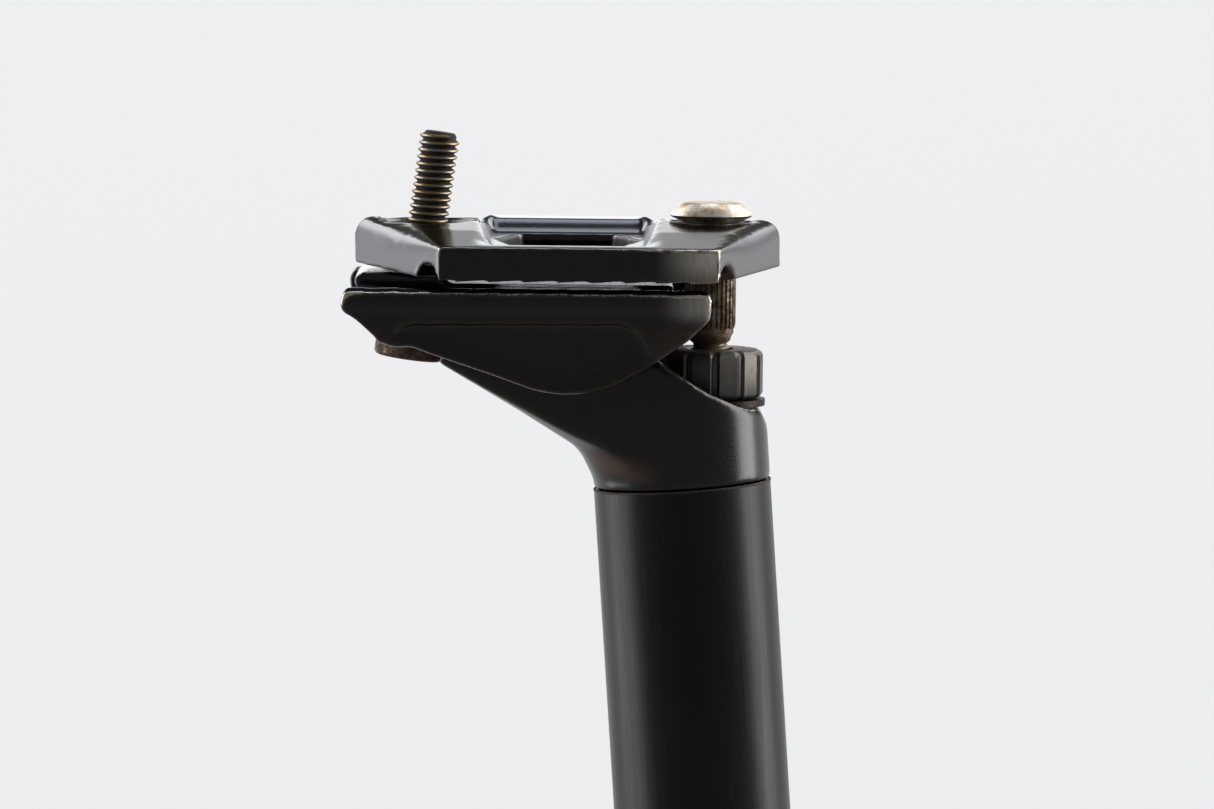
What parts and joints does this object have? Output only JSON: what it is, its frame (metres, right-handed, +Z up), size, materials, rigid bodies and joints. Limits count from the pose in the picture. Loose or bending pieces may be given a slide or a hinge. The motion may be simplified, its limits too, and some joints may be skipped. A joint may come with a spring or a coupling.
{
  "type": "suspension seatpost",
  "caption": "Telescopic sprung seatpost with a forged setback head, a rocking two-bolt rail clamp, a front thumb nut and a threaded collar over the sliding shaft.",
  "frame": {"origin": "centre of the post tube's lower end face", "axes": "+Z up the post, +X to the front of the bicycle, +Y to its left"},
  "size_m": [0.0636, 0.053, 0.3702],
  "materials": {
    "forged_black": "forged alloy, gloss black anodised, edges worn to bare metal",
    "shaft_anodised": "satin black anodised tube",
    "post_anodised": "satin black anodised tube",
    "collar_anodised": "black anodised, knurled",
    "plug_alloy": "plain machined",
    "slide_polymer": "unfilled acetal",
    "guide_polymer": "black acetal",
    "seal_rubber": "nitrile rubber",
    "elastomer": "cast polyurethane",
    "spring_steel": "oil-tempered wire",
    "zinc_steel": "zinc plated",
    "key_brass": "drawn brass",
    "rusty_steel": "plated steel with brown rust",
    "bare_steel": "worn nickel plate",
    "dark_steel": "blackened steel"
  },
  "bodies": {
    "post": {"post_tube": "post_anodised", "collar_nut": "collar_anodised", "upper_bush": "slide_polymer", "wiper_seal": "seal_rubber", "top_out_bumper": "elastomer", "bottom_bumper": "elastomer", "preload_seat": "zinc_steel", "main_spring": "spring_steel", "plug_o_ring": "seal_rubber"},
    "preload_plug": {"preload_plug": "plug_alloy"},
    "shaft": {"shaft_tube": "shaft_anodised", "head": "forged_black", "shaft_key_1": "key_brass", "shaft_key_2": "key_brass", "shaft_key_3": "key_brass", "shaft_foot": "plug_alloy", "glide_ring": "slide_polymer", "spring_guide": "guide_polymer", "foot_screw": "zinc_steel", "rear_washer": "rusty_steel", "front_washer": "dark_steel"},
    "clamp": {"lower_cradle": "forged_black", "upper_clamp": "forged_black"},
    "rear_bolt": {"rear_bolt": "rusty_steel"},
    "rear_nut": {"rear_nut": "rusty_steel"},
    "front_bolt": {"front_bolt": "rusty_steel"},
    "thumb_nut": {"front_thumb_nut": "bare_steel"}
  },
  "joints": [
    {"name": "shaft_slide", "type": "slide", "parent": "post", "child": "shaft", "axis": [0, 0, 1], "range_m": [-0.04, 0], "stiffness_N_per_m": 14000, "springref_m": 0.004, "deforming": ["main_spring"]},
    {"name": "saddle_tilt", "type": "hinge", "parent": "shaft", "child": "clamp", "pos_m": [-0.0144, 0, 0.35], "axis": [0, 1, 0], "range_deg": [-3, 3]},
    {"name": "front_bolt_rise", "type": "slide", "parent": "shaft", "child": "front_bolt", "axis": [0.0732, 0, 0.9973], "range_m": [-0.0011, 0.0011]},
    {"name": "rear_nut_rise", "type": "slide", "parent": "shaft", "child": "rear_nut", "axis": [0.2062, 0, 0.9785], "range_m": [-0.0011, 0.0011]},
    {"name": "rear_bolt_turn", "type": "hinge", "parent": "shaft", "child": "rear_bolt", "pos_m": [-0.03669, 0, 0.34412], "axis": [0.2062, 0, 0.9785], "continuous": true},
    {"name": "thumb_nut_turn", "type": "hinge", "parent": "shaft", "child": "thumb_nut", "pos_m": [0.00479, 0, 0.33556], "axis": [0.0732, 0, 0.9973], "continuous": true},
    {"name": "preload_turn", "type": "hinge", "parent": "post", "child": "preload_plug", "pos_m": [0, 0, 0.009], "axis": [0, 0, 1], "continuous": true}
  ],
  "couplings": [
    {"joint": "front_bolt_rise", "follows": "saddle_tilt", "m_per_rad": -0.0202},
    {"joint": "rear_nut_rise", "follows": "saddle_tilt", "m_per_rad": 0.0203}
  ]
}
